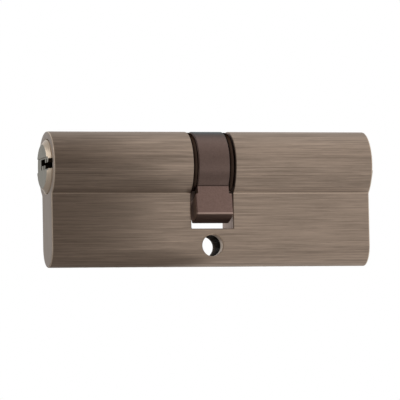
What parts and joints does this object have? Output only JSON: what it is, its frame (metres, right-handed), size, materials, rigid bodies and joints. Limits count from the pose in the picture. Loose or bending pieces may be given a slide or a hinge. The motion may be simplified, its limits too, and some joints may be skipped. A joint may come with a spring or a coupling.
{
  "type": "euro profile double lock cylinder",
  "caption": "Euro profile double lock cylinder: a keyed plug at each end of a round-headed housing, and a cam with a lever between them.",
  "frame": {"origin": "centre of the fixing-screw hole, halfway through the foot and level with the middle of the cam gap", "axes": "+X along the plugs to the right-hand end, +Z from the screw hole to the plugs, -Y towards the side that the cam's lever leans to"},
  "size_m": [0.0822, 0.017, 0.033],
  "materials": {
    "body": "brushed nickel-bronze plating, brushed along its length",
    "plug": "satin nickel plating",
    "cam": "sintered steel, browned and lightly polished",
    "clip": "blued spring steel",
    "clutch": "plain steel",
    "pin": "turned brass",
    "driver": "turned steel",
    "spring": "bright stainless spring wire",
    "stopper": "turned brass"
  },
  "bodies": {
    "housing": {"housing": "body", "spring_left_1": "spring", "spring_left_2": "spring", "spring_left_3": "spring", "spring_left_4": "spring", "spring_left_5": "spring", "spring_left_6": "spring", "spring_right_1": "spring", "spring_right_2": "spring", "spring_right_3": "spring", "spring_right_4": "spring", "spring_right_5": "spring", "spring_right_6": "spring", "chamber_plug_left_1": "stopper", "chamber_plug_left_2": "stopper", "chamber_plug_left_3": "stopper", "chamber_plug_left_4": "stopper", "chamber_plug_left_5": "stopper", "chamber_plug_left_6": "stopper", "chamber_plug_right_1": "stopper", "chamber_plug_right_2": "stopper", "chamber_plug_right_3": "stopper", "chamber_plug_right_4": "stopper", "chamber_plug_right_5": "stopper", "chamber_plug_right_6": "stopper"},
    "plug_left": {"plug_left": "plug", "retaining_clip_left": "clip"},
    "plug_right": {"plug_right": "plug", "retaining_clip_right": "clip"},
    "cam": {"cam": "cam"},
    "clutch_left": {"clutch_left": "clutch"},
    "clutch_right": {"clutch_right": "clutch"},
    "key_pin_left_1": {"key_pin_left_1": "pin"},
    "driver_pin_left_1": {"driver_pin_left_1": "driver"},
    "key_pin_left_2": {"key_pin_left_2": "pin"},
    "driver_pin_left_2": {"driver_pin_left_2": "driver"},
    "key_pin_left_3": {"key_pin_left_3": "pin"},
    "driver_pin_left_3": {"driver_pin_left_3": "driver"},
    "key_pin_left_4": {"key_pin_left_4": "pin"},
    "driver_pin_left_4": {"driver_pin_left_4": "driver"},
    "key_pin_left_5": {"key_pin_left_5": "pin"},
    "driver_pin_left_5": {"driver_pin_left_5": "driver"},
    "key_pin_left_6": {"key_pin_left_6": "pin"},
    "driver_pin_left_6": {"driver_pin_left_6": "driver"},
    "key_pin_right_1": {"key_pin_right_1": "pin"},
    "driver_pin_right_1": {"driver_pin_right_1": "driver"},
    "key_pin_right_2": {"key_pin_right_2": "pin"},
    "driver_pin_right_2": {"driver_pin_right_2": "driver"},
    "key_pin_right_3": {"key_pin_right_3": "pin"},
    "driver_pin_right_3": {"driver_pin_right_3": "driver"},
    "key_pin_right_4": {"key_pin_right_4": "pin"},
    "driver_pin_right_4": {"driver_pin_right_4": "driver"},
    "key_pin_right_5": {"key_pin_right_5": "pin"},
    "driver_pin_right_5": {"driver_pin_right_5": "driver"},
    "key_pin_right_6": {"key_pin_right_6": "pin"},
    "driver_pin_right_6": {"driver_pin_right_6": "driver"}
  },
  "joints": [
    {"name": "plug_left_turn", "type": "hinge", "parent": "housing", "child": "plug_left", "pos_m": [0, 0, 0.0195], "axis": [1, 0, 0], "continuous": true},
    {"name": "plug_right_turn", "type": "hinge", "parent": "housing", "child": "plug_right", "pos_m": [0, 0, 0.0195], "axis": [1, 0, 0], "continuous": true},
    {"name": "cam_turn", "type": "hinge", "parent": "housing", "child": "cam", "pos_m": [0, 0, 0.0195], "axis": [1, 0, 0], "continuous": true},
    {"name": "clutch_left_slide", "type": "slide", "parent": "plug_left", "child": "clutch_left", "axis": [-1, 0, 0], "range_m": [0, 0.0032]},
    {"name": "clutch_right_slide", "type": "slide", "parent": "plug_right", "child": "clutch_right", "axis": [-1, 0, 0], "range_m": [0, 0.0032]},
    {"name": "key_pin_left_1_slide", "type": "slide", "parent": "plug_left", "child": "key_pin_left_1", "axis": [0, 0, 1], "range_m": [0, 0.0009]},
    {"name": "driver_pin_left_1_slide", "type": "slide", "parent": "housing", "child": "driver_pin_left_1", "axis": [0, 0, -1], "range_m": [0, 0.001], "stiffness_N_per_m": 100, "deforming": ["spring_left_1"]},
    {"name": "key_pin_left_2_slide", "type": "slide", "parent": "plug_left", "child": "key_pin_left_2", "axis": [0, 0, 1], "range_m": [0, 0.0004]},
    {"name": "driver_pin_left_2_slide", "type": "slide", "parent": "housing", "child": "driver_pin_left_2", "axis": [0, 0, -1], "range_m": [0, 0.001], "stiffness_N_per_m": 100, "deforming": ["spring_left_2"]},
    {"name": "key_pin_left_3_slide", "type": "slide", "parent": "plug_left", "child": "key_pin_left_3", "axis": [0, 0, 1], "range_m": [0, 0.0007]},
    {"name": "driver_pin_left_3_slide", "type": "slide", "parent": "housing", "child": "driver_pin_left_3", "axis": [0, 0, -1], "range_m": [0, 0.001], "stiffness_N_per_m": 100, "deforming": ["spring_left_3"]},
    {"name": "key_pin_left_4_slide", "type": "slide", "parent": "plug_left", "child": "key_pin_left_4", "axis": [0, 0, 1], "range_m": [0, 0.0003]},
    {"name": "driver_pin_left_4_slide", "type": "slide", "parent": "housing", "child": "driver_pin_left_4", "axis": [0, 0, -1], "range_m": [0, 0.001], "stiffness_N_per_m": 100, "deforming": ["spring_left_4"]},
    {"name": "key_pin_left_5_slide", "type": "slide", "parent": "plug_left", "child": "key_pin_left_5", "axis": [0, 0, 1], "range_m": [0, 0.0008]},
    {"name": "driver_pin_left_5_slide", "type": "slide", "parent": "housing", "child": "driver_pin_left_5", "axis": [0, 0, -1], "range_m": [0, 0.001], "stiffness_N_per_m": 100, "deforming": ["spring_left_5"]},
    {"name": "key_pin_left_6_slide", "type": "slide", "parent": "plug_left", "child": "key_pin_left_6", "axis": [0, 0, 1], "range_m": [0, 0.0005]},
    {"name": "driver_pin_left_6_slide", "type": "slide", "parent": "housing", "child": "driver_pin_left_6", "axis": [0, 0, -1], "range_m": [0, 0.001], "stiffness_N_per_m": 100, "deforming": ["spring_left_6"]},
    {"name": "key_pin_right_1_slide", "type": "slide", "parent": "plug_right", "child": "key_pin_right_1", "axis": [0, 0, 1], "range_m": [0, 0.0009]},
    {"name": "driver_pin_right_1_slide", "type": "slide", "parent": "housing", "child": "driver_pin_right_1", "axis": [0, 0, -1], "range_m": [0, 0.001], "stiffness_N_per_m": 100, "deforming": ["spring_right_1"]},
    {"name": "key_pin_right_2_slide", "type": "slide", "parent": "plug_right", "child": "key_pin_right_2", "axis": [0, 0, 1], "range_m": [0, 0.0004]},
    {"name": "driver_pin_right_2_slide", "type": "slide", "parent": "housing", "child": "driver_pin_right_2", "axis": [0, 0, -1], "range_m": [0, 0.001], "stiffness_N_per_m": 100, "deforming": ["spring_right_2"]},
    {"name": "key_pin_right_3_slide", "type": "slide", "parent": "plug_right", "child": "key_pin_right_3", "axis": [0, 0, 1], "range_m": [0, 0.0007]},
    {"name": "driver_pin_right_3_slide", "type": "slide", "parent": "housing", "child": "driver_pin_right_3", "axis": [0, 0, -1], "range_m": [0, 0.001], "stiffness_N_per_m": 100, "deforming": ["spring_right_3"]},
    {"name": "key_pin_right_4_slide", "type": "slide", "parent": "plug_right", "child": "key_pin_right_4", "axis": [0, 0, 1], "range_m": [0, 0.0003]},
    {"name": "driver_pin_right_4_slide", "type": "slide", "parent": "housing", "child": "driver_pin_right_4", "axis": [0, 0, -1], "range_m": [0, 0.001], "stiffness_N_per_m": 100, "deforming": ["spring_right_4"]},
    {"name": "key_pin_right_5_slide", "type": "slide", "parent": "plug_right", "child": "key_pin_right_5", "axis": [0, 0, 1], "range_m": [0, 0.0008]},
    {"name": "driver_pin_right_5_slide", "type": "slide", "parent": "housing", "child": "driver_pin_right_5", "axis": [0, 0, -1], "range_m": [0, 0.001], "stiffness_N_per_m": 100, "deforming": ["spring_right_5"]},
    {"name": "key_pin_right_6_slide", "type": "slide", "parent": "plug_right", "child": "key_pin_right_6", "axis": [0, 0, 1], "range_m": [0, 0.0005]},
    {"name": "driver_pin_right_6_slide", "type": "slide", "parent": "housing", "child": "driver_pin_right_6", "axis": [0, 0, -1], "range_m": [0, 0.001], "stiffness_N_per_m": 100, "deforming": ["spring_right_6"]}
  ],
  "couplings": [
    {"joint": "cam_turn", "follows": "plug_left_turn", "ratio": 1},
    {"joint": "clutch_right_slide", "follows": "clutch_left_slide", "ratio": 1}
  ]
}
